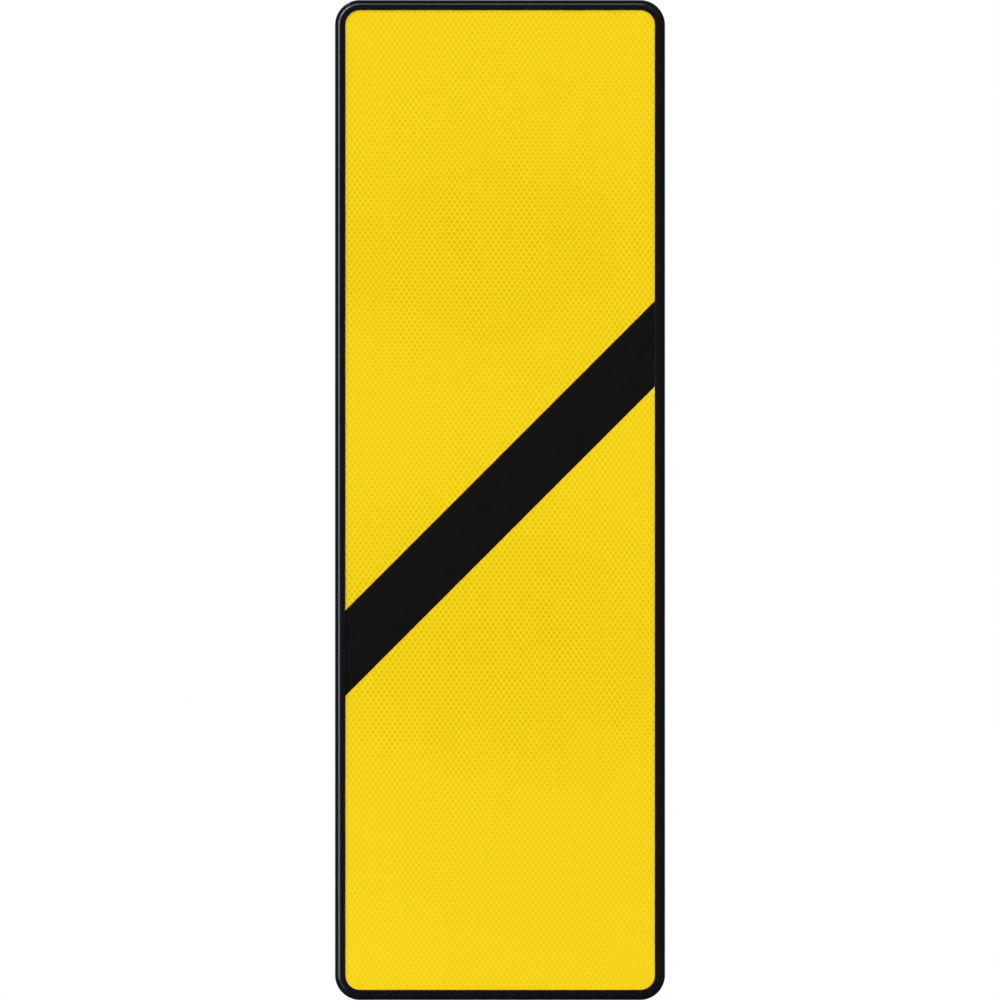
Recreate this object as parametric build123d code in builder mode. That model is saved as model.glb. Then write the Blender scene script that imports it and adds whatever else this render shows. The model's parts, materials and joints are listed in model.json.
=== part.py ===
from build123d import *
from math import sqrt
import os

# A flat warning beacon board: a yellow reflective face with one black diagonal stripe, held in a
# black edge profile. Two slotted rails behind it carry the clamps that close round a tubular post.
# The origin is on the post's axis at mid-height of the lower clamp. The post runs along Z, the face
# looks towards -Y, and left and right are as seen from the front. All sizes are in millimetres.

# Board outline
board_width = 330.0
board_height = 1000.0
corner_radius = 25.0

# Face: plate, sheeting and stripe
plate_thickness = 2.0
sheet_thickness = 0.4
stripe_thickness = 0.15
stripe_width = 60.5
stripe_slope = 45.0
stripe_rise = 1.5

# Edge profile, measured inwards from the outline (reach) and back from its front (depth)
rim_face = 10.4
rim_depth = 20.0
rim_wall = 2.0
rim_flange = 12.0
groove_wall = 4.5
rib_reach = 10.5
rib_thickness = 1.8
nose_radius = 7.0
heel_radius = 2.0
lip_bevel = 0.6
joint_gap = 0.3
plate_edge_gap = 0.5
face_gap = 0.25

# Joiner across the butt joint of the edge profile
joiner_length = 80.0
joiner_thickness = 4.0
joiner_gap = 0.3
joiner_screw_offset = 24.0
joiner_screw_radius = 2.0
joiner_head_flats = 7.0
joiner_head_height = 2.8

# M8 fasteners
bolt_radius = 4.0
head_flats = 13.0
head_height = 5.3
nut_height = 6.5
washer_radius = 8.0
washer_thickness = 1.6
thread_gap = 0.05
washer_gap = 0.2
hole_gap = 0.5
bolt_tail = 1.25

# Cross rails
rail_inset = 200.0
rail_width = 40.0
rail_depth = 12.0
rail_end_gap = 4.0
rail_wall = 2.0
rail_lip = 2.5
rail_web = 2.5
rail_bevel = 0.8
slot_gap = 0.4
head_gap = 0.3
cap_thickness = 2.0
cap_plug_length = 8.0
cap_gap = 0.15

# Rim clamps that grip the edge profile's rear flange
grip_length = 30.0
grip_toe = 4.5
grip_gap = 1.0
grip_step_gap = 0.5
grip_relief = 0.4
grip_heel = 4.0
grip_bevel = 1.5
grip_bolt_margin = 4.5
grip_bolt_tail = 4.9

# Post clamps
post_radius = 24.15
clamp_height = 40.0
clamp_wall = 4.0
saddle_floor = 4.0
saddle_web = 3.0
saddle_web_gap = 1.5
ear_thickness = 5.0
ear_overhang = 13.0
ear_bevel = 1.5
strap_fillet = 2.5
takeup_gap = 8.0
washer_to_strap = 1.85
strap_travel = 6.0

# Depths along Y, worked back from the post's axis
rail_back = -(post_radius + saddle_floor)
rail_front = rail_back - rail_depth
rim_back = rail_front
rim_front = rim_back - rim_depth
flange_front = rim_back - rim_wall
lip_back = rim_front + rim_wall
sheet_front = lip_back + face_gap
plate_front = sheet_front + sheet_thickness
plate_back = plate_front + plate_thickness
rib_back = plate_back + rib_thickness

# Heights and half sizes of the board
board_bottom = -rail_inset
board_middle = board_bottom + board_height / 2
upper_clamp = board_height - 2 * rail_inset
half_width = board_width / 2
plate_inset = groove_wall + plate_edge_gap
plate_width = board_width - 2 * plate_inset
plate_height = board_height - 2 * plate_inset
plate_corner = corner_radius - plate_inset

# Places across the width
bolt_hole = bolt_radius + hole_gap
clamp_ring = post_radius + clamp_wall
clamp_bolt_x = clamp_ring + washer_to_strap + washer_radius
ear_reach = clamp_bolt_x + ear_overhang
grip_step = rim_flange + grip_step_gap
grip_bolt = grip_step + bolt_radius + grip_bolt_margin
grip_heel_start = grip_bolt + bolt_radius + grip_bolt_margin - grip_relief
grip_end = grip_heel_start + grip_heel
grip_front = flange_front - grip_toe
grip_bolt_x = half_width - grip_bolt

# T-slot of the rails
slot_width = 2 * (bolt_radius + slot_gap)
chamber_width = head_flats + 2 * head_gap
chamber_depth = rail_depth - rail_lip - rail_web
hollow_width = (rail_width - chamber_width) / 2 - 2 * rail_wall
hollow_depth = rail_depth - 2 * rail_wall
hollow_offset = (chamber_width + hollow_width) / 2 + rail_wall
rail_length = board_width - 2 * rail_end_gap

# A sketch rectangle centred in X that rises from its place in Y
upward = (Align.CENTER, Align.MIN)

os.makedirs("parts", exist_ok=True)


def facing(y):
    # An upright plane at depth y that looks forward, with X to the right and Z up
    return Plane.XZ.offset(-y)


def seat(x, y, z, toward):
    # A plane for one fastener, with its head or nut on the side that toward points to along Y
    return Plane(origin=(x, y, z), x_dir=(1, 0, 0), z_dir=(0, toward, 0))


def write(piece, label):
    piece.label = label
    export_step(piece, f"parts/{label}.step")


def hex_bolts(seats, shank_length, radius=bolt_radius, flats=head_flats, height=head_height):
    with BuildPart() as bolts:
        for head_seat in seats:
            with BuildSketch(head_seat):
                RegularPolygon(flats / 2, 6, major_radius=False)
            extrude(amount=height)
            with BuildSketch(head_seat):
                Circle(radius)
            extrude(amount=-shank_length)
    return bolts.part


def washers(seats):
    with BuildPart() as rings:
        for ring_seat in seats:
            with BuildSketch(ring_seat):
                Circle(washer_radius)
                Circle(bolt_radius + washer_gap, mode=Mode.SUBTRACT)
            extrude(amount=washer_thickness)
    return rings.part


def hex_nut(nut_seat):
    with BuildPart() as nut:
        with BuildSketch(nut_seat):
            RegularPolygon(head_flats / 2, 6, major_radius=False)
            Circle(bolt_radius + thread_gap, mode=Mode.SUBTRACT)
        extrude(amount=nut_height)
    return nut.part


# Plate, its yellow sheeting and the stripe, three layers of one outline
with BuildPart() as sign_plate:
    with BuildSketch(facing(plate_back)):
        with Locations((0, board_middle)):
            RectangleRounded(plate_width, plate_height, plate_corner)
    extrude(amount=plate_thickness)
write(sign_plate.part, "sign_plate")

with BuildPart() as reflective_sheet:
    with BuildSketch(facing(plate_front)):
        with Locations((0, board_middle)):
            RectangleRounded(plate_width, plate_height, plate_corner)
    extrude(amount=sheet_thickness)
write(reflective_sheet.part, "reflective_sheet")

with BuildPart() as diagonal_stripe:
    with BuildSketch(facing(sheet_front)):
        with Locations((0, board_middle)):
            RectangleRounded(plate_width, plate_height, plate_corner)
        with Locations((0, board_middle + stripe_rise)):
            Rectangle(2 * plate_height, stripe_width, rotation=stripe_slope, mode=Mode.INTERSECT)
    extrude(amount=stripe_thickness)
write(diagonal_stripe.part, "diagonal_stripe")

# Edge profile: one extruded section bent round the board, its ends meeting at the bottom centre.
# The section has a rounded nose, a groove for the plate, a channel and a rear flange.
rim_corners = [
    (joint_gap / 2, board_bottom),
    (half_width, board_bottom),
    (half_width, board_bottom + board_height),
    (-half_width, board_bottom + board_height),
    (-half_width, board_bottom),
    (-joint_gap / 2, board_bottom),
]
rim_start = Plane(origin=(joint_gap / 2, rim_front, board_bottom), x_dir=(0, 0, 1), z_dir=(-1, 0, 0))
rim_outline = [
    (0, 0),
    (0, rim_depth),
    (rim_flange, rim_depth),
    (rim_flange, rim_depth - rim_wall),
    (rim_wall, rim_depth - rim_wall),
    (rim_wall, rib_back - rim_front),
    (rib_reach, rib_back - rim_front),
    (rib_reach, plate_back - rim_front),
    (groove_wall, plate_back - rim_front),
    (groove_wall, rim_wall),
    (rim_face, rim_wall),
    (rim_face, 0),
]
joiner_reach = (rim_wall + rim_flange) / 2
joiner_places = [(side * joiner_screw_offset, board_bottom + joiner_reach) for side in (-1, 1)]

with BuildPart() as edge_profile:
    with BuildLine(facing(rim_front)) as rim_path:
        FilletPolyline(*rim_corners, radius=corner_radius)
    with BuildSketch(rim_start) as rim_section:
        with BuildLine():
            Polyline(*rim_outline, close=True)
        make_face()
        bends = [rim_section.vertices().sort_by_distance(at)[0] for at in rim_outline]
        nose, heel, flange_tip, lip_tip = bends[0], bends[1], bends[2], bends[-1]
        fillet(nose, min(nose_radius, rim_face - 2 * lip_bevel))
        fillet(heel, heel_radius)
        chamfer([flange_tip, lip_tip], lip_bevel)
    sweep(path=rim_path.line)
    with BuildSketch(facing(rim_back)):
        with Locations(*joiner_places):
            Circle(joiner_screw_radius + washer_gap)
    extrude(amount=rim_wall, mode=Mode.SUBTRACT)
write(edge_profile.part, "edge_profile")

# Joiner strip inside the bottom channel, and its screws through the rear flange
joiner_width = rim_flange - rim_wall - 2 * joiner_gap
with BuildPart() as profile_joiner:
    with BuildSketch(facing(flange_front)):
        with Locations((0, board_bottom + joiner_reach)):
            Rectangle(joiner_length, joiner_width)
        with Locations(*joiner_places):
            Circle(joiner_screw_radius + thread_gap, mode=Mode.SUBTRACT)
    extrude(amount=joiner_thickness)
write(profile_joiner.part, "profile_joiner")

joiner_seats = [seat(x, rim_back, z, 1) for x, z in joiner_places]
joiner_shank = rim_wall + joiner_thickness
joiner_head = (joiner_screw_radius, joiner_head_flats, joiner_head_height)
write(hex_bolts(joiner_seats, joiner_shank, *joiner_head), "joiner_screws")

for level, height in (("lower", 0.0), ("upper", upper_clamp)):
    # Rail: an extrusion with a T-slot towards the post and a hollow either side of it
    across = Plane(origin=(0, 0, height), x_dir=(0, 1, 0), z_dir=(1, 0, 0))
    with BuildPart() as rail:
        with BuildSketch(across) as rail_section:
            with Locations((rail_front + rail_depth / 2, 0)):
                Rectangle(rail_depth, rail_width)
                chamfer(rail_section.vertices(), rail_bevel)
                with GridLocations(0, 2 * hollow_offset, 1, 2):
                    Rectangle(hollow_depth, hollow_width, mode=Mode.SUBTRACT)
            with Locations((rail_front + rail_web + chamber_depth / 2, 0)):
                Rectangle(chamber_depth, chamber_width, mode=Mode.SUBTRACT)
            with Locations((rail_back - rail_lip / 2, 0)):
                Rectangle(rail_lip, slot_width, mode=Mode.SUBTRACT)
        extrude(amount=rail_length / 2, both=True)
        with BuildSketch(facing(rail_front)):
            with Locations((-grip_bolt_x, height), (grip_bolt_x, height)):
                Circle(bolt_hole)
        extrude(amount=-rail_web, mode=Mode.SUBTRACT)
    write(rail.part, f"{level}_rail")

    # End caps with plugs in the rail's two hollows
    with BuildPart() as end_caps:
        for side in (-1, 1):
            rail_end = Plane(
                origin=(side * rail_length / 2, rail_front + rail_depth / 2, height),
                x_dir=(0, 1, 0),
                z_dir=(side, 0, 0),
            )
            with BuildSketch(rail_end) as cap_outline:
                Rectangle(rail_depth, rail_width)
                chamfer(cap_outline.vertices(), rail_bevel)
            extrude(amount=cap_thickness)
            with BuildSketch(rail_end):
                with GridLocations(0, 2 * hollow_offset, 1, 2):
                    Rectangle(hollow_depth - 2 * cap_gap, hollow_width - 2 * cap_gap)
            extrude(amount=-cap_plug_length)
    write(end_caps.part, f"{level}_rail_end_caps")

    # Rim clamps: stepped blocks whose toes reach behind the edge profile's flange
    for name, side in (("left", -1), ("right", 1)):
        grip_outline = [
            (rim_wall + grip_gap, flange_front),
            (grip_step, flange_front),
            (grip_step, rim_back - grip_relief),
            (grip_heel_start, rim_back - grip_relief),
            (grip_heel_start, rim_back),
            (grip_end, rim_back),
            (grip_end, grip_front),
            (rim_wall + grip_gap + grip_bevel, grip_front),
            (rim_wall + grip_gap, grip_front + grip_bevel),
        ]
        with BuildPart() as rim_clamp:
            with BuildSketch(Plane.XY.offset(height)):
                with BuildLine():
                    outline = [(side * (half_width - reach), y) for reach, y in grip_outline]
                    Polyline(*outline, close=True)
                make_face()
            extrude(amount=grip_length / 2, both=True)
            with BuildSketch(facing(rim_back)):
                with Locations((side * grip_bolt_x, height)):
                    Circle(bolt_radius + thread_gap)
            extrude(amount=rim_back - grip_front, mode=Mode.SUBTRACT)
        write(rim_clamp.part, f"{level}_{name}_rim_clamp")

    grip_seats = [seat(side * grip_bolt_x, rail_back, height, 1) for side in (-1, 1)]
    grip_heads = [seat(side * grip_bolt_x, rail_back + washer_thickness, height, 1) for side in (-1, 1)]
    grip_shank = washer_thickness + rail_back - grip_front + grip_bolt_tail
    write(washers(grip_seats), f"{level}_rim_clamp_washers")
    write(hex_bolts(grip_heads, grip_shank), f"{level}_rim_clamp_bolts")

    # Saddle: a cradle on a flat base, propped by a leaning web on either side
    ring_tip = sqrt(clamp_ring**2 - (takeup_gap / 2) ** 2)
    web_foot = clamp_bolt_x - bolt_hole - saddle_web_gap
    base_top = rail_back + saddle_floor
    cradle_depth = -takeup_gap / 2 - rail_back
    bolt_places = [(-clamp_bolt_x, height), (clamp_bolt_x, height)]
    with BuildPart() as saddle:
        with BuildSketch(Plane.XY.offset(height)):
            Circle(clamp_ring)
            with Locations((0, rail_back)):
                Rectangle(2 * clamp_ring, cradle_depth, align=upward, mode=Mode.INTERSECT)
                Rectangle(2 * ear_reach, saddle_floor, align=upward)
            for side in (-1, 1):
                with BuildLine():
                    Polyline(
                        (side * web_foot, base_top),
                        (side * ring_tip, -takeup_gap / 2),
                        (side * (ring_tip - saddle_web), -takeup_gap / 2),
                        (side * (web_foot - saddle_web), base_top),
                        (side * (web_foot - saddle_web), base_top - saddle_floor / 2),
                        (side * web_foot, base_top - saddle_floor / 2),
                        close=True,
                    )
                make_face()
            Circle(post_radius, mode=Mode.SUBTRACT)
        extrude(amount=clamp_height / 2, both=True)
        base_edges = saddle.edges().filter_by(Axis.Z).group_by(Axis.X)
        chamfer(base_edges[0] + base_edges[-1], ear_bevel)
        with BuildSketch(facing(base_top)):
            with Locations(*bolt_places):
                Circle(bolt_hole)
        extrude(amount=saddle_floor, mode=Mode.SUBTRACT)
    write(saddle.part, f"{level}_post_saddle")

    # Strap: a half ring with two flat ears
    ear_front = takeup_gap / 2
    ear_back = ear_front + ear_thickness
    ear_root = sqrt(clamp_ring**2 - ear_back**2)
    with BuildPart() as strap:
        with BuildSketch(Plane.XY.offset(height)) as strap_section:
            Circle(clamp_ring)
            with Locations((0, ear_front)):
                Rectangle(2 * clamp_ring, clamp_ring, align=upward, mode=Mode.INTERSECT)
                Rectangle(2 * ear_reach, ear_thickness, align=upward)
            Circle(post_radius, mode=Mode.SUBTRACT)
            corners = strap_section.vertices()
            roots = [corners.sort_by_distance((x, ear_back))[0] for x in (-ear_root, ear_root)]
            fillet(roots, strap_fillet)
        extrude(amount=clamp_height / 2, both=True)
        ear_edges = strap.edges().filter_by(Axis.Z).group_by(Axis.X)
        chamfer(ear_edges[0] + ear_edges[-1], ear_bevel)
        with BuildSketch(facing(ear_back)):
            with Locations(*bolt_places):
                Circle(bolt_hole)
        extrude(amount=ear_thickness, mode=Mode.SUBTRACT)
    write(strap.part, f"{level}_post_strap")

    # Clamp bolts with their heads held in the rail's slot, and the washers and nuts on the strap
    washer_back = ear_back + washer_thickness
    head_seat = rail_back - rail_lip
    clamp_shank = washer_back + nut_height + strap_travel + bolt_tail - head_seat
    clamp_seats = [seat(side * clamp_bolt_x, head_seat, height, -1) for side in (-1, 1)]
    write(hex_bolts(clamp_seats, clamp_shank), f"{level}_post_clamp_bolts")
    write(
        washers([seat(side * clamp_bolt_x, ear_back, height, 1) for side in (-1, 1)]),
        f"{level}_post_clamp_washers",
    )
    for name, side in (("left", -1), ("right", 1)):
        write(hex_nut(seat(side * clamp_bolt_x, washer_back, height, 1)), f"{level}_{name}_clamp_nut")
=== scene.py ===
import json
import math

import bmesh
import bpy
from mathutils import Matrix, Vector


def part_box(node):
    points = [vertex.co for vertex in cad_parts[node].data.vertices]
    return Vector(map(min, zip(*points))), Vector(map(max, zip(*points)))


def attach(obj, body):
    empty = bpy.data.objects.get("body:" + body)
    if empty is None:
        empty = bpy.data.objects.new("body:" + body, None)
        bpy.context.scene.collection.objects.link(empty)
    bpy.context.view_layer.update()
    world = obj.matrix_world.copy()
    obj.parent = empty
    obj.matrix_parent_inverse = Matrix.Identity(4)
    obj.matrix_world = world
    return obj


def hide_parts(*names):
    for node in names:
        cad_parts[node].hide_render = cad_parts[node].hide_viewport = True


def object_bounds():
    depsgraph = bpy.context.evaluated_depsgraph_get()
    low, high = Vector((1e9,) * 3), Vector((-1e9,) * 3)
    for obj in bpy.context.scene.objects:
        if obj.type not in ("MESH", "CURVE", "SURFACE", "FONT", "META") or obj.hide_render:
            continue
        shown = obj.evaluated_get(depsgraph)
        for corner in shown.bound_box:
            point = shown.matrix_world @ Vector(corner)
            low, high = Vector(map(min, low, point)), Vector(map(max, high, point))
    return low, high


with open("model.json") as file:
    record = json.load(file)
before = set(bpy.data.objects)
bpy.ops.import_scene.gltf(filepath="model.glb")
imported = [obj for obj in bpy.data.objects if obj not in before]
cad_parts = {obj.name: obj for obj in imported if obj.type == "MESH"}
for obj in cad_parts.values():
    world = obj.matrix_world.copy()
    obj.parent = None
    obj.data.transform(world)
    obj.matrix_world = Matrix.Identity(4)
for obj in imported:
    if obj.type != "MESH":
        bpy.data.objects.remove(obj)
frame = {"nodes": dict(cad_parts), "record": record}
cadBox = [list(corner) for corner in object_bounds()]
nodes = frame["nodes"]
slotOf = {part["node"]: part["material_slot"] for part in frame["record"]["subparts"]}
bodyOf = {node: body for body, group in frame["record"]["behaviour"]["bodies"].items() for node in group}
scene = bpy.context.scene
scene.view_settings.view_transform = "Standard"
mm = 0.001
levels = ("lower", "upper")
sides = ("left", "right")


class Wire:
    # one output of a shader node; arithmetic on it adds Math nodes
    def __init__(self, tree, socket):
        self.tree = tree
        self.socket = socket

    def maths(self, operation, *values):
        return self.tree.add("ShaderNodeMath", {"operation": operation}, dict(enumerate(values)))

    def __add__(self, other):
        return self.maths("ADD", self, other)

    def __radd__(self, other):
        return self.maths("ADD", other, self)

    def __sub__(self, other):
        return self.maths("SUBTRACT", self, other)

    def __rsub__(self, other):
        return self.maths("SUBTRACT", other, self)

    def __mul__(self, other):
        return self.maths("MULTIPLY", self, other)

    def __rmul__(self, other):
        return self.maths("MULTIPLY", other, self)

    def __truediv__(self, other):
        return self.maths("DIVIDE", self, other)

    def __rtruediv__(self, other):
        return self.maths("DIVIDE", other, self)

    def __pow__(self, other):
        return self.maths("POWER", self, other)

    def __rpow__(self, other):
        return self.maths("POWER", other, self)

    def swing(self):  # 1 at whole numbers, 0 halfway between them
        turn = self * (2 * math.pi)
        return 0.5 + 0.5 * self.maths("COSINE", turn)

    def nearest(self):
        return self.maths("ROUND", self)

    def largest(self, other):
        return self.maths("MAXIMUM", self, other)


class ShaderTree:
    def __init__(self, owner):  # a material or the world
        owner.use_nodes = True
        self.nodes = owner.node_tree.nodes
        self.links = owner.node_tree.links
        self.nodes.clear()

    def add(self, kind, settings=None, sockets=None, output=0):
        node = self.nodes.new(kind)
        for name, value in (settings or {}).items():
            if name == "stops":
                self.setStops(node.color_ramp, value)
            else:
                setattr(node, name, value)
        for name, value in (sockets or {}).items():
            if isinstance(value, Wire):
                self.links.new(value.socket, node.inputs[name])
            else:
                node.inputs[name].default_value = value
        return Wire(self, node.outputs[output] if len(node.outputs) else None)

    def setStops(self, ramp, stops):
        ramp.interpolation = "EASE"
        while len(ramp.elements) < len(stops):
            ramp.elements.new(1.0)
        for element, (place, level) in zip(ramp.elements, stops):
            element.position = place
            element.color = grey(level)

    def mix(self, share, first, second):  # a Mix node has its colours at 6 and 7 and the mixed one at 2
        return self.add("ShaderNodeMix", {"data_type": "RGBA"}, {0: share, 6: first, 7: second}, output=2)

    def place(self):  # the point on the piece, in metres
        return self.add("ShaderNodeTexCoord", output="Object")

    def axis(self, at, name):
        return self.add("ShaderNodeSeparateXYZ", sockets={"Vector": at}, output=name)

    def point(self, x, y, z):
        return self.add("ShaderNodeCombineXYZ", sockets={"X": x, "Y": y, "Z": z})

    def stretch(self, at, factors):
        return self.add("ShaderNodeVectorMath", {"operation": "MULTIPLY"}, {0: at, 1: factors})

    def noise(self, at, scale, detail, rough=0.5):
        sockets = {"Vector": at, "Scale": scale, "Detail": detail, "Roughness": rough}
        return self.add("ShaderNodeTexNoise", sockets=sockets)

    def bump(self, height, depth, strength):
        sockets = {"Height": height, "Distance": depth, "Strength": strength}
        return self.add("ShaderNodeBump", sockets=sockets)

    def surface(self, sockets):
        shader = self.add("ShaderNodeBsdfPrincipled", sockets=sockets)
        self.add("ShaderNodeOutputMaterial", sockets={"Surface": shader})


def newFinish(name):
    material = bpy.data.materials.new(name)
    return material, ShaderTree(material)


def opaque(colour):
    return (*colour, 1.0)


def grey(level):
    return (level, level, level, 1.0)


# Yellow sheeting: staggered prism cells, each with a soft dark dot, and fine pale lines between them
sheeting = {
    "pitch": 5.55 * mm,
    "row": 4.02 * mm,
    "tilt": 0.0073,  # the roll was laid a little off square
    "phase": (0.40, 0.67),  # where the two slanting rows start, in cells
    "pale": (0.990, 0.700, 0.0123),  # ground where the dots are faint
    "deep": (0.920, 0.654, 0.0072),  # ground where they are strong
    "dot": (0.780, 0.501, 0.0),
    "dotShare": (0.92, 0.16),  # a dot's strength: alike in all cells, and by chance on top
    "rowShare": 0.29,  # how far the dots of one row run together
    "sideFade": 0.24,  # how much weaker the dots are at the sides than in the middle
    # The bands follow the sheeting's own pattern of dots. Near the foot the dots are also kept weak as
    # painted light, which lightens the foot where less light comes back from the shaded floor.
    "bands": [  # strength of the dots by height, from the foot, 0, to the top, 1
        (0.0, 0.30), (0.15, 0.50), (0.353, 1.0), (0.58, 0.59), (0.757, 1.0), (0.9, 0.68), (1.0, 0.53),
    ],
    "cloud": (14.0, 3.0),  # repeats per metre and detail, here and below
    "cloudShare": (0.75, 0.5),  # strength of the dots: even, and by the cloud on top
    "line": (0.990, 0.770, 0.040),
    "lineSharpness": 60.0,
    "lineShare": 0.45,
    "prismPitch": 0.92 * mm,
    "prismHeight": 0.15,  # beside 1 for the lines
    "roughness": 0.36,
    "cloudRoughness": 0.10,
    "lineRoughness": -0.08,
    "specular": 0.008,
    "bump": (0.03 * mm, 0.25),  # depth and strength, here and below
}


def latticeCells(x, z):
    # counts cells along the two slanting rows of the lattice
    across = (x - z * sheeting["tilt"]) / sheeting["pitch"]
    up = (z + x * sheeting["tilt"]) / (2 * sheeting["row"])
    rising, falling = sheeting["phase"]
    return across + up - rising, across - up - falling


def latticeLines(rising, falling):
    # 1 along the edges of the cells, falling fast to 0 beside them
    return (1.0 - rising.swing()).largest(1.0 - falling.swing()) ** sheeting["lineSharpness"]


def dotStrength(tree, x, z, cloud):
    low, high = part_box("reflective_sheet")
    height = (z - low.z) / (high.z - low.z)
    offCentre = (2.0 * x - (low.x + high.x)) / (high.x - low.x)
    fade = 1.0 - sheeting["sideFade"] * (offCentre * offCentre)
    # dot strength by height; the weak dots at the foot are partly painted light, which lightens the foot
    bands = tree.add("ShaderNodeValToRGB", {"stops": sheeting["bands"]}, {"Fac": height})
    even, clouded = sheeting["cloudShare"]
    return bands * fade * (even + clouded * cloud)


def makeSheeting():
    material, tree = newFinish("yellowSheeting")
    at = tree.place()
    x = tree.axis(at, "X")
    z = tree.axis(at, "Z")
    cloud = tree.noise(at, *sheeting["cloud"])
    strength = dotStrength(tree, x, z, cloud)
    rising, falling = latticeCells(x, z)
    rows = (rising - falling).swing()
    dots = 0.5 * (rising.swing() + falling.swing()) + sheeting["rowShare"] * (rows - 1.0)
    cell = tree.point(rising.nearest(), falling.nearest(), 0.0)
    chance = tree.add("ShaderNodeTexWhiteNoise", {"noise_dimensions": "2D"}, {"Vector": cell})
    alike, varied = sheeting["dotShare"]
    ground = tree.mix(strength, opaque(sheeting["pale"]), opaque(sheeting["deep"]))
    dotted = tree.mix(dots * strength * (alike + varied * chance), ground, opaque(sheeting["dot"]))
    lines = latticeLines(rising, falling)
    prisms = (x / sheeting["prismPitch"]).swing() * (z / sheeting["prismPitch"]).swing()
    rough = sheeting["roughness"] + sheeting["cloudRoughness"] * cloud
    tree.surface({
        "Base Color": tree.mix(lines * sheeting["lineShare"], dotted, opaque(sheeting["line"])),
        "Roughness": rough + sheeting["lineRoughness"] * lines,
        "Specular IOR Level": sheeting["specular"],
        "Normal": tree.bump(lines + sheeting["prismHeight"] * prisms, *sheeting["bump"]),
    })
    return material


# Black overlay film of the stripe, which takes on the lines of the sheeting under it
film = {
    "colour": (0.0043, 0.0039, 0.0032),
    "scuff": (0.0057, 0.0052, 0.0044),
    "cloud": (55.0, 4.0),
    "roughness": 0.36,
    "cloudRoughness": 0.12,
    "specular": 0.008,
    "bump": (0.02 * mm, 0.15),
}


def makeFilm():
    material, tree = newFinish("blackFilm")
    at = tree.place()
    lines = latticeLines(*latticeCells(tree.axis(at, "X"), tree.axis(at, "Z")))
    cloud = tree.noise(at, *film["cloud"])
    tree.surface({
        "Base Color": tree.mix(cloud, opaque(film["colour"]), opaque(film["scuff"])),
        "Roughness": film["roughness"] + film["cloudRoughness"] * cloud,
        "Specular IOR Level": film["specular"],
        "Normal": tree.bump(lines, *film["bump"]),
    })
    return material


# Black coat of the rim: a dull ground under a thin clear coat, which alone shines
rimCoat = {
    "colour": (0.0034, 0.0035, 0.0074),
    "worn": (0.0046, 0.0047, 0.0088),
    "cloud": (35.0, 4.0),
    "roughness": 0.60,
    "cloudRoughness": 0.06,
    "gloss": 0.08,  # share of a full clear coat
    "peelGloss": 0.01,
    "glossRoughness": 0.10,
    "peelPitch": 1.6 * mm,
    "peelDetail": 1.0,
    "bump": (0.02 * mm, 0.04),
}


def makeRimCoat():
    material, tree = newFinish("blackRim")
    at = tree.place()
    cloud = tree.noise(at, *rimCoat["cloud"])
    peel = tree.noise(at, 1 / rimCoat["peelPitch"], rimCoat["peelDetail"])
    tree.surface({
        "Base Color": tree.mix(cloud, opaque(rimCoat["colour"]), opaque(rimCoat["worn"])),
        "Roughness": rimCoat["roughness"] + rimCoat["cloudRoughness"] * cloud,
        "Specular IOR Level": 0.0,
        "Coat Weight": rimCoat["gloss"] + rimCoat["peelGloss"] * peel,
        "Coat Roughness": rimCoat["glossRoughness"],
        "Normal": tree.bump(peel, *rimCoat["bump"]),
    })
    return material


# Bare metals: grain, in repeats per metre along X, Y and Z, is drawn out the way each was rolled or extruded
metals = {
    "plate_aluminium": {
        "dark": (0.38, 0.39, 0.40),
        "light": (0.58, 0.59, 0.60),
        "grain": (900.0, 900.0, 9.0),
        "cloud": (11.0, 4.0),
        "roughness": (0.30, 0.46),
        "bump": (0.010 * mm, 0.16),
    },
    "rail_aluminium": {
        "dark": (0.33, 0.34, 0.35),
        "light": (0.52, 0.53, 0.54),
        "grain": (7.0, 1500.0, 1500.0),
        "cloud": (26.0, 4.0),
        "roughness": (0.28, 0.44),
        "bump": (0.014 * mm, 0.22),
    },
    "clamp_aluminium": {
        "dark": (0.25, 0.255, 0.26),
        "light": (0.42, 0.425, 0.43),
        "grain": (1300.0, 1300.0, 14.0),
        "cloud": (60.0, 4.0),
        "roughness": (0.36, 0.54),
        "bump": (0.024 * mm, 0.30),
    },
    "galvanised_steel": {
        "dark": (0.20, 0.21, 0.225),
        "light": (0.42, 0.43, 0.44),
        "grain": (700.0, 700.0, 700.0),
        "cloud": (90.0, 4.0),
        "roughness": (0.38, 0.60),
        "bump": (0.030 * mm, 0.25),
        "spanglePitch": 3.4 * mm,
        "spangle": 0.75,  # share of the tone that the zinc's crystals give
    },
    "zinc_fasteners": {
        "dark": (0.40, 0.415, 0.43),
        "light": (0.62, 0.615, 0.59),
        "grain": (1600.0, 1600.0, 1600.0),
        "cloud": (160.0, 4.0),
        "roughness": (0.22, 0.36),
        "bump": (0.006 * mm, 0.14),
    },
}
metalNoise = {
    "grainDetail": 3.0,
    "rough": 0.6,
    "grainShare": 0.55,  # of the tone; the cloud gives the rest
}


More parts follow.
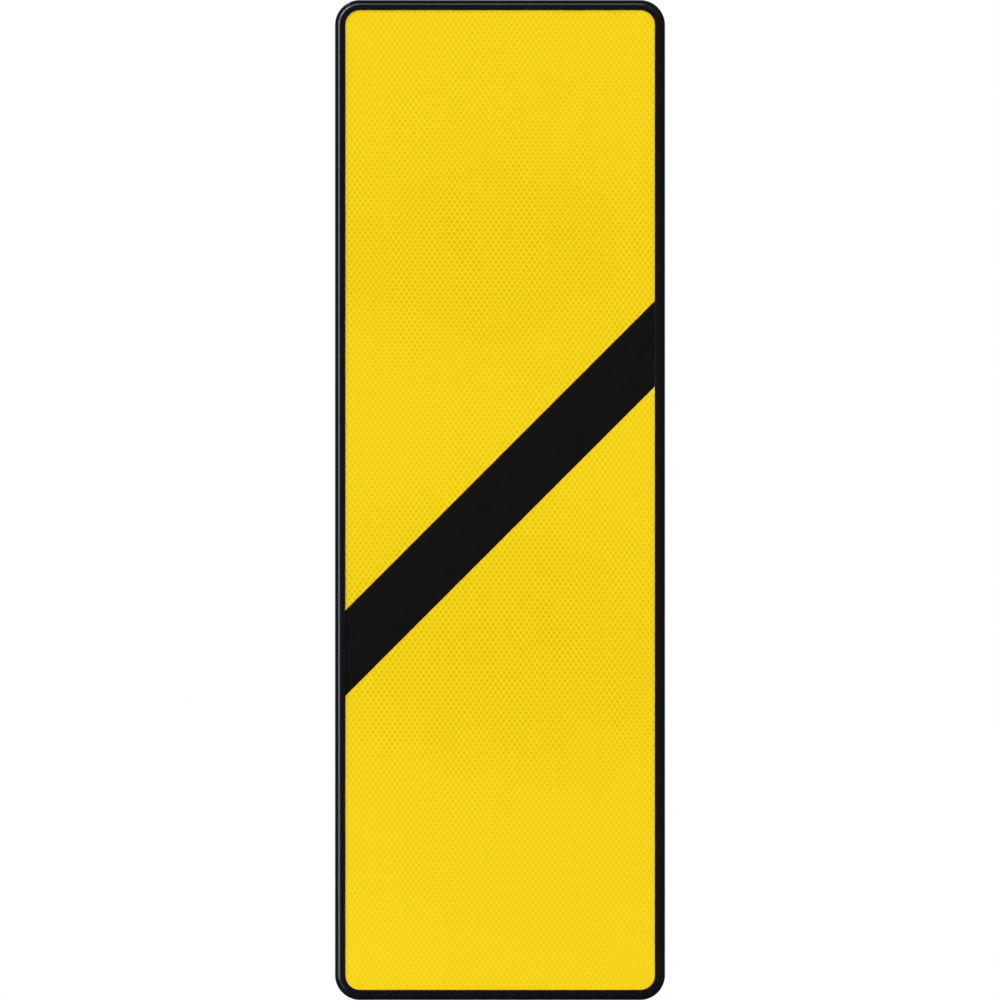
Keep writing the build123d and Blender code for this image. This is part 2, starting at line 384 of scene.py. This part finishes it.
def makeMetal(slot):
    look = metals[slot]
    material, tree = newFinish(slot)
    at = tree.place()
    grain = tree.noise(tree.stretch(at, look["grain"]), 1.0, metalNoise["grainDetail"], metalNoise["rough"])
    cloud = tree.noise(at, *look["cloud"], metalNoise["rough"])
    tone = metalNoise["grainShare"] * grain + (1 - metalNoise["grainShare"]) * cloud
    if "spangle" in look:
        crystals = {"Vector": at, "Scale": 1 / look["spanglePitch"]}
        colour = tree.add("ShaderNodeTexVoronoi", {"feature": "F1"}, crystals, output="Color")
        level = tree.add("ShaderNodeSeparateColor", sockets={"Color": colour}, output="Red")
        tone = look["spangle"] * level + (1 - look["spangle"]) * tone
    smooth, rough = look["roughness"]
    tree.surface({
        "Base Color": tree.mix(tone, opaque(look["dark"]), opaque(look["light"])),
        "Metallic": 1.0,
        "Roughness": smooth + (rough - smooth) * (0.5 * cloud + 0.5 * grain),
        "Normal": tree.bump(grain, *look["bump"]),
    })
    return material


# Black moulded plastic of the rail end caps
capPlastic = {
    "colour": (0.010, 0.010, 0.011),
    "rubbed": (0.022, 0.022, 0.023),
    "cloud": (70.0, 4.0),
    "grainPitch": 0.7 * mm,
    "roughness": 0.55,
    "cloudRoughness": 0.15,
    "specular": 0.05,
    "bump": (0.06 * mm, 0.35),
}


def makeCapPlastic():
    material, tree = newFinish("capPlastic")
    at = tree.place()
    cloud = tree.noise(at, *capPlastic["cloud"])
    pebbles = {"Vector": at, "Scale": 1 / capPlastic["grainPitch"]}
    grain = tree.add("ShaderNodeTexVoronoi", {"feature": "SMOOTH_F1"}, pebbles)
    tree.surface({
        "Base Color": tree.mix(cloud, opaque(capPlastic["colour"]), opaque(capPlastic["rubbed"])),
        "Roughness": capPlastic["roughness"] + capPlastic["cloudRoughness"] * cloud,
        "Specular IOR Level": capPlastic["specular"],
        "Normal": tree.bump(grain, *capPlastic["bump"]),
    })
    return material


finishes = {slot: makeMetal(slot) for slot in metals}
finishes["yellow_sheeting"] = makeSheeting()
finishes["black_film"] = makeFilm()
finishes["black_rim"] = makeRimCoat()
finishes["cap_plastic"] = makeCapPlastic()
print("finishes made:", ", ".join(sorted(finishes)))


def skin(shape, rings, looped=False):
    # joins rings of equal length by quads; the ends are capped, or joined to each other
    rows = [[shape.verts.new(point) for point in ring] for ring in rings]
    count = len(rows[0])
    pairs = list(zip(rows, rows[1:]))
    if looped:
        pairs.append((rows[-1], rows[0]))
    for near, far in pairs:
        for n in range(count):
            after = (n + 1) % count
            shape.faces.new((near[n], near[after], far[after], far[n]))
    if not looped:
        shape.faces.new(rows[0])
        shape.faces.new(rows[-1])


def camel(name):
    first, *rest = name.split("_")
    return first + "".join(word.capitalize() for word in rest)


def finishPiece(shape, name, node, sharpAngle=30.0):
    # the piece stands for a CAD node, with its body and its finish
    bmesh.ops.recalc_face_normals(shape, faces=shape.faces)
    mesh = bpy.data.meshes.new(name)
    shape.to_mesh(mesh)
    shape.free()
    mesh.shade_smooth()
    mesh.set_sharp_from_angle(angle=math.radians(sharpAngle))
    mesh.materials.append(finishes[slotOf[node]])
    piece = bpy.data.objects.new(name, mesh)
    scene.collection.objects.link(piece)
    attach(piece, bodyOf[node])
    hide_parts(node)
    return piece


def roundedOutline(corners, steps):
    # corners are (reach, depth, radius); a radius becomes an arc of the given steps
    points = []
    for n, (reach, depth, radius) in enumerate(corners):
        here = Vector((reach, depth))
        if radius == 0:
            points.append(here)
            continue
        before = (Vector(corners[n - 1][:2]) - here).normalized()
        after = (Vector(corners[(n + 1) % len(corners)][:2]) - here).normalized()
        half = before.angle(after) / 2
        centre = here + (before + after).normalized() * (radius / math.sin(half))
        start = here + before * (radius / math.tan(half)) - centre
        end = here + after * (radius / math.tan(half)) - centre
        turn = -start.angle_signed(end)
        points += [centre + Matrix.Rotation(turn * step / steps, 2) @ start for step in range(steps + 1)]
    return points


# Rim: one section bent round the board, its ends butted tight at the bottom centre
rim = {
    "face": 10.4 * mm,
    "flange": 12.0 * mm,
    "wall": 2.0 * mm,
    "grooveWall": 4.5 * mm,
    "rib": 1.8 * mm,
    "ribReach": 10.5 * mm,
    "nose": 7.0 * mm,
    "heel": 2.0 * mm,
    "lip": 0.35 * mm,
    "root": 0.4 * mm,
    "corner": 25.0 * mm,
    "jointEase": 0.12 * mm,  # broken edge of each end, which leaves a fine groove
    "cornerSteps": 28,
    "arcSteps": 14,
}


def rimSection():
    # reach goes in from the board's edge, depth back from its face
    low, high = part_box("edge_profile")
    depth = high.y - low.y
    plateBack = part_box("sign_plate")[1].y - low.y
    ribBack = plateBack + rim["rib"]
    corners = [
        (0, 0, rim["nose"]),
        (0, depth, rim["heel"]),
        (rim["flange"], depth, rim["lip"]),
        (rim["flange"], depth - rim["wall"], rim["root"]),
        (rim["wall"], depth - rim["wall"], rim["root"]),
        (rim["wall"], ribBack, rim["root"]),
        (rim["ribReach"], ribBack, rim["root"]),
        (rim["ribReach"], plateBack, 0),
        (rim["grooveWall"], plateBack, 0),
        (rim["grooveWall"], rim["wall"], 0),
        (rim["face"], rim["wall"], rim["root"]),
        (rim["face"], 0, rim["lip"]),
    ]
    return roundedOutline(corners, rim["arcSteps"])


def inset(outline, amount):
    points = []
    for n, here in enumerate(outline):
        along = (outline[(n + 1) % len(outline)] - outline[n - 1]).normalized()
        points.append(here + amount * Vector((along.y, -along.x)))
    return points


def makeRim():
    low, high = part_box("edge_profile")
    radius = rim["corner"]
    left, right = low.x + radius, high.x - radius
    bottom, top = low.z + radius, high.z - radius
    section = rimSection()
    groove = inset(section, rim["jointEase"])
    down, quarter = -90.0, 90.0  # headings: the way that the rim looks out, in degrees
    stations = [(0.0, bottom, down, groove), (rim["jointEase"], bottom, down, section)]
    for n, (x, z) in enumerate([(right, bottom), (right, top), (left, top), (left, bottom)]):
        for step in range(rim["cornerSteps"] + 1):
            stations.append((x, z, down + quarter * (n + step / rim["cornerSteps"]), section))
    stations.append((-rim["jointEase"], bottom, down, section))
    rings = []
    for x, z, heading, outline in stations:
        out = Vector((math.cos(math.radians(heading)), math.sin(math.radians(heading))))
        ring = []
        for reach, depth in outline:
            spot = Vector((x, z)) + out * (radius - reach)
            ring.append((spot.x, low.y + depth, spot.y))
        rings.append(ring)
    shape = bmesh.new()
    skin(shape, rings, looped=True)
    finishPiece(shape, "rim", "edge_profile")


makeRim()
print("rim made")

# Hexagon fasteners: chamfered heads and nuts, cut threads, washers with eased edges
fastener = {
    "points": 36,  # to a ring
    "flats": 13.0 * mm,
    "headHeight": 5.3 * mm,
    "radius": 4.0 * mm,
    "pitch": 1.25 * mm,
    "threadDepth": 0.62 * mm,
    "threadFlank": 2.6,  # how steeply the thread falls from crest to root, in depths per pitch
    "threadCrest": 0.15,  # share of the depth that the flat crest cuts off
    "stepsPerPitch": 6,
    "plainShank": 6.0 * mm,  # of a post clamp bolt
    "gripThread": 9.0 * mm,  # of a rim clamp bolt
    "chamferShare": 0.94,
    "chamferSlope": math.tan(math.radians(30.0)),
    "tip": 0.9 * mm,
    "countersink": 0.4 * mm,
    "washerRadius": 8.0 * mm,
    "washerHole": 4.2 * mm,
    "washerEdge": 0.18 * mm,
    "boreGap": 0.05 * mm,
    "seatGap": 0.03 * mm,
}
screw = dict(
    fastener,
    flats=7.0 * mm,
    headHeight=2.8 * mm,
    radius=2.0 * mm,
    pitch=0.7 * mm,
    threadDepth=0.34 * mm,
    gripThread=4.0 * mm,
    tip=0.5 * mm,
)


def angles(kind):
    return [2 * math.pi * n / kind["points"] for n in range(kind["points"])]


def chamferRadius(kind):
    return kind["chamferShare"] * kind["flats"] / 2


def roundRing(kind, radius, along):
    return [(radius * math.cos(angle), radius * math.sin(angle), along) for angle in angles(kind)]


def hexRing(kind, along, chamfered=0):
    # once round the hexagon; its corners fall away from an end that is chamfered, +1 or -1
    ring = []
    for angle in angles(kind):
        reach = kind["flats"] / 2 / math.cos(angle % (math.pi / 3) - math.pi / 6)
        drop = max(0.0, reach - chamferRadius(kind)) * kind["chamferSlope"]
        ring.append((reach * math.cos(angle), reach * math.sin(angle), along - chamfered * drop))
    return ring


def threadRing(kind, along, end):
    # once round the shank through the thread; the tip is bevelled
    ring = []
    for angle in angles(kind):
        phase = (along / kind["pitch"] - angle / (2 * math.pi)) % 1.0
        fall = kind["threadFlank"] * abs(phase - 0.5) - kind["threadCrest"]
        cut = kind["threadDepth"] * min(1.0, max(0.0, fall))
        radius = min(kind["radius"] - cut, kind["radius"] - kind["tip"] + (along - end))
        ring.append((radius * math.cos(angle), radius * math.sin(angle), along))
    return ring


def boltRings(kind, length, threaded):
    # from the top of the head down to the tip of the shank; the head seats at 0
    rings = [
        roundRing(kind, chamferRadius(kind), kind["headHeight"]),
        hexRing(kind, kind["headHeight"], 1),
        hexRing(kind, 0.0),
        roundRing(kind, kind["radius"], 0.0),
        roundRing(kind, kind["radius"], threaded - length + kind["pitch"]),
    ]
    count = round(threaded / kind["pitch"] * kind["stepsPerPitch"])
    rings += [threadRing(kind, -length + threaded * (1 - n / count), -length) for n in range(count + 1)]
    return rings


def nutRings(kind, height):
    edge = chamferRadius(kind)
    bore = kind["radius"] + kind["boreGap"]
    sink = kind["radius"] + kind["countersink"]
    return [
        roundRing(kind, sink, 0.0),
        roundRing(kind, edge, 0.0),
        hexRing(kind, 0.0, -1),
        hexRing(kind, height, 1),
        roundRing(kind, edge, height),
        roundRing(kind, sink, height),
        roundRing(kind, bore, height - kind["countersink"]),
        roundRing(kind, bore, kind["countersink"]),
    ]


def washerRings(kind, height):
    ease = kind["washerEdge"]
    inner, outer = kind["washerHole"], kind["washerRadius"]
    profile = [
        (inner + ease, 0), (outer - ease, 0), (outer, ease), (outer, height - ease),
        (outer - ease, height), (inner + ease, height), (inner, height - ease), (inner, ease),
    ]
    return [roundRing(kind, radius, along) for radius, along in profile]


def turnedTo(rings, x, y, z, toward):
    # lays a fastener along Y at its seat; toward, +1 or -1, is the side of its head or nut
    return [[(x + across, y + toward * along, z + up) for across, up, along in ring] for ring in rings]


def middle(node):
    low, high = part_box(node)
    return (low + high) / 2


def makePostBolts(level):
    node = f"{level}_post_clamp_bolts"
    low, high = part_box(node)
    seat = low.y + fastener["headHeight"]
    length = high.y - seat
    rings = boltRings(fastener, length, length - fastener["plainShank"])
    shape = bmesh.new()
    for side in sides:
        nut = middle(f"{level}_{side}_clamp_nut")
        skin(shape, turnedTo(rings, nut.x, seat, nut.z, -1))
    finishPiece(shape, camel(node), node)


def makePostWashers(level):
    node = f"{level}_post_clamp_washers"
    low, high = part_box(node)
    rings = washerRings(fastener, high.y - low.y)
    shape = bmesh.new()
    for side in sides:
        nut = middle(f"{level}_{side}_clamp_nut")
        skin(shape, turnedTo(rings, nut.x, low.y, nut.z, 1), looped=True)
    finishPiece(shape, camel(node), node)


def makeNut(level, side):
    node = f"{level}_{side}_clamp_nut"
    low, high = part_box(node)
    seat = low.y + fastener["seatGap"]
    centre = middle(node)
    rings = nutRings(fastener, high.y - seat)
    shape = bmesh.new()
    skin(shape, turnedTo(rings, centre.x, seat, centre.z, 1), looped=True)
    finishPiece(shape, camel(node), node)


def makeRimClampBolts(level):
    boltNode = f"{level}_rim_clamp_bolts"
    washerNode = f"{level}_rim_clamp_washers"
    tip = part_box(boltNode)[0].y
    low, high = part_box(washerNode)
    z = middle(washerNode).z
    reach = high.x - fastener["washerRadius"]
    bolt = boltRings(fastener, high.y - tip, fastener["gripThread"])
    washer = washerRings(fastener, high.y - low.y)
    boltShape = bmesh.new()
    washerShape = bmesh.new()
    for x in (-reach, reach):
        skin(boltShape, turnedTo(bolt, x, high.y, z, 1))
        skin(washerShape, turnedTo(washer, x, low.y, z, 1), looped=True)
    finishPiece(boltShape, camel(boltNode), boltNode)
    finishPiece(washerShape, camel(washerNode), washerNode)


def makeJoinerScrews():
    node = "joiner_screws"
    low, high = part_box(node)
    z = middle(node).z
    seat = high.y - screw["headHeight"]
    reach = high.x - screw["flats"] / math.sqrt(3)  # half the width across the head's corners
    rings = boltRings(screw, seat - low.y, screw["gripThread"])
    shape = bmesh.new()
    for x in (-reach, reach):
        skin(shape, turnedTo(rings, x, seat, z, 1))
    finishPiece(shape, camel(node), node)


for level in levels:
    makePostBolts(level)
    makePostWashers(level)
    for side in sides:
        makeNut(level, side)
    makeRimClampBolts(level)
makeJoinerScrews()
print("fasteners made")

# Cut, extruded and moulded pieces keep their CAD shape, with welded seams and eased outer edges
easing = {
    "widths": {
        "sign_plate": 0.20 * mm,
        "profile_joiner": 0.30 * mm,
        "rail": 0.30 * mm,
        "rail_end_caps": 0.45 * mm,
        "rim_clamp": 0.35 * mm,
        "post_saddle": 0.40 * mm,
        "post_strap": 0.45 * mm,
    },
    "moulded": "rail_end_caps",  # these have rounded inner corners too
    "weld": 0.002 * mm,
    "flatAngle": 0.4,
    "edgeAngle": 32.0,
    "sharpAngle": 40.0,
    "segments": 2,
    "roundness": 0.5,  # a bevel's profile, 0.5 for an arc
}


def easeNode(node, width):
    shape = bmesh.new()
    shape.from_mesh(nodes[node].data)
    bmesh.ops.remove_doubles(shape, verts=shape.verts, dist=easing["weld"])
    flat = math.radians(easing["flatAngle"])
    bmesh.ops.dissolve_limit(shape, angle_limit=flat, verts=shape.verts, edges=shape.edges)
    limit = math.radians(easing["edgeAngle"])
    sharp = [edge for edge in shape.edges if edge.calc_face_angle(0.0) > limit]
    if not node.endswith(easing["moulded"]):
        sharp = [edge for edge in sharp if edge.is_convex]
    bmesh.ops.bevel(
        shape, geom=sharp, offset=width, offset_type="OFFSET", segments=easing["segments"],
        profile=easing["roundness"], affect="EDGES", clamp_overlap=False,
    )
    piece = finishPiece(shape, camel(node), node, easing["sharpAngle"])
    normals = piece.modifiers.new("flatFaces", "WEIGHTED_NORMAL")
    normals.keep_sharp = True


for node in sorted(nodes):
    for ending, width in easing["widths"].items():
        if node.endswith(ending):
            easeNode(node, width)
for node in ("reflective_sheet", "diagonal_stripe"):
    nodes[node].material_slots[0].material = finishes[slotOf[node]]
print("pieces eased")

# Studio: white floor and surroundings, even light on the face, one lamp behind that casts the shadow
studio = {
    "ambient": 0.20,
    "floorSize": 30.0,
    "floorWhite": 0.30,
    "floorLift": 0.67,
    "whiteTo": ("Is Camera Ray", "Is Glossy Ray", "Is Transmission Ray"),
}
# off is the angle from straight ahead of the face; heading goes from left, 0, to up, 90
lamps = {
    "faceFill": {"off": 42.0, "heading": 55.0, "strength": 3.08, "spread": 30.0},
    "rearKey": {"off": 125.0, "heading": 60.0, "strength": 1.7, "spread": 12.0},
}
glints = {  # these only show as highlights
    "lowGlint": {"off": 37.0, "heading": -26.0, "strength": 1.65, "spread": 30.0},
    "leftGlint": {"off": 51.0, "heading": 0.0, "strength": 6.3, "spread": 26.0},
    "leftBendGlint": {"off": 51.0, "heading": 22.0, "strength": 7.4, "spread": 26.0},
    "bendGlint": {"off": 50.5, "heading": 45.0, "strength": 9.2, "spread": 26.0},
    "topBendGlint": {"off": 47.0, "heading": 68.0, "strength": 4.6, "spread": 26.0},
    "topGlint": {"off": 45.5, "heading": 90.0, "strength": 2.05, "spread": 18.0},
    "rightGlint": {"off": 34.0, "heading": 122.0, "strength": 0.6, "spread": 32.0},
}


def seenAsWhite(tree):
    # 1 where the background is looked at, 0 where it lights the part
    camera, glossy, through = [tree.add("ShaderNodeLightPath", output=ray) for ray in studio["whiteTo"]]
    return camera.largest(glossy).largest(through)


def makeWorld():
    world = bpy.data.worlds.new("studio")
    scene.world = world
    tree = ShaderTree(world)
    colour = tree.mix(seenAsWhite(tree), grey(studio["ambient"]), grey(1.0))
    backdrop = tree.add("ShaderNodeBackground", sockets={"Color": colour})
    tree.add("ShaderNodeOutputWorld", sockets={"Surface": backdrop})


def makeFloor():
    material, tree = newFinish("floorWhite")
    paint = tree.add("ShaderNodeBsdfDiffuse", sockets={"Color": grey(studio["floorWhite"])})
    glow = tree.mix(seenAsWhite(tree), grey(0.0), grey(studio["floorLift"]))
    lift = tree.add("ShaderNodeEmission", sockets={"Color": glow})
    both = tree.add("ShaderNodeAddShader", sockets={0: paint, 1: lift})
    tree.add("ShaderNodeOutputMaterial", sockets={"Surface": both})
    half = studio["floorSize"] / 2
    foot = cadBox[0][2]
    shape = bmesh.new()
    corners = [(-half, -half), (half, -half), (half, half), (-half, half)]
    shape.faces.new([shape.verts.new((x, y, foot)) for x, y in corners])
    mesh = bpy.data.meshes.new("floor")
    shape.to_mesh(mesh)
    shape.free()
    mesh.materials.append(material)
    floor = bpy.data.objects.new("floor", mesh)
    scene.collection.objects.link(floor)
    return floor


def makeLamp(name, look):
    lamp = bpy.data.lights.new(name, "SUN")
    lamp.energy = look["strength"]
    lamp.angle = math.radians(look["spread"])
    off, heading = math.radians(look["off"]), math.radians(look["heading"])
    sideways = math.sin(off)
    source = Vector((-math.cos(heading) * sideways, -math.cos(off), math.sin(heading) * sideways))
    holder = bpy.data.objects.new(name, lamp)
    holder.rotation_mode = "QUATERNION"
    holder.rotation_quaternion = source.to_track_quat("Z", "Y")
    scene.collection.objects.link(holder)
    return holder


def makeLamps(floor):
    holders = {name: makeLamp(name, look) for name, look in lamps.items()}
    holders["faceFill"].data.use_shadow = False
    holders["faceFill"].visible_glossy = False
    butFloor = bpy.data.collections.new("butFloor")  # the floor doesn't shade the glints low on the rim
    butFloor.objects.link(floor)
    butFloor.collection_objects[0].light_linking.link_state = "EXCLUDE"
    for name, look in glints.items():
        glint = makeLamp(name, look)
        glint.visible_diffuse = False
        glint.light_linking.blocker_collection = butFloor


makeWorld()
makeLamps(makeFloor())
print("studio lit")

# Camera: straight on from far away; the board's edges in the photograph, in pixels, set scale and centre
photo = {
    "frame": 1000.0,
    "left": 335.1,
    "right": 664.95,
    "top": 0.0,
    "bottom": 1000.0,
    "distance": 10.0,  # from the camera to the board, in metres
}


def makeCamera():
    low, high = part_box("edge_profile")
    centre = middle("edge_profile")
    widest = low.y + rim["nose"]  # depth at which the rim is widest
    pixel = (high.z - low.z) / (photo["bottom"] - photo["top"])
    boardX = ((photo["left"] + photo["right"]) / 2 - photo["frame"] / 2) * pixel
    boardZ = (photo["frame"] / 2 - (photo["top"] + photo["bottom"]) / 2) * pixel
    lens = bpy.data.cameras.new("camera")
    lens.lens = lens.sensor_width * photo["distance"] / (pixel * photo["frame"])
    camera = bpy.data.objects.new("camera", lens)
    camera.location = (centre.x - boardX, widest - photo["distance"], centre.z - boardZ)
    camera.rotation_euler = (math.pi / 2, 0.0, 0.0)
    scene.collection.objects.link(camera)
    scene.camera = camera


makeCamera()
print("camera set")
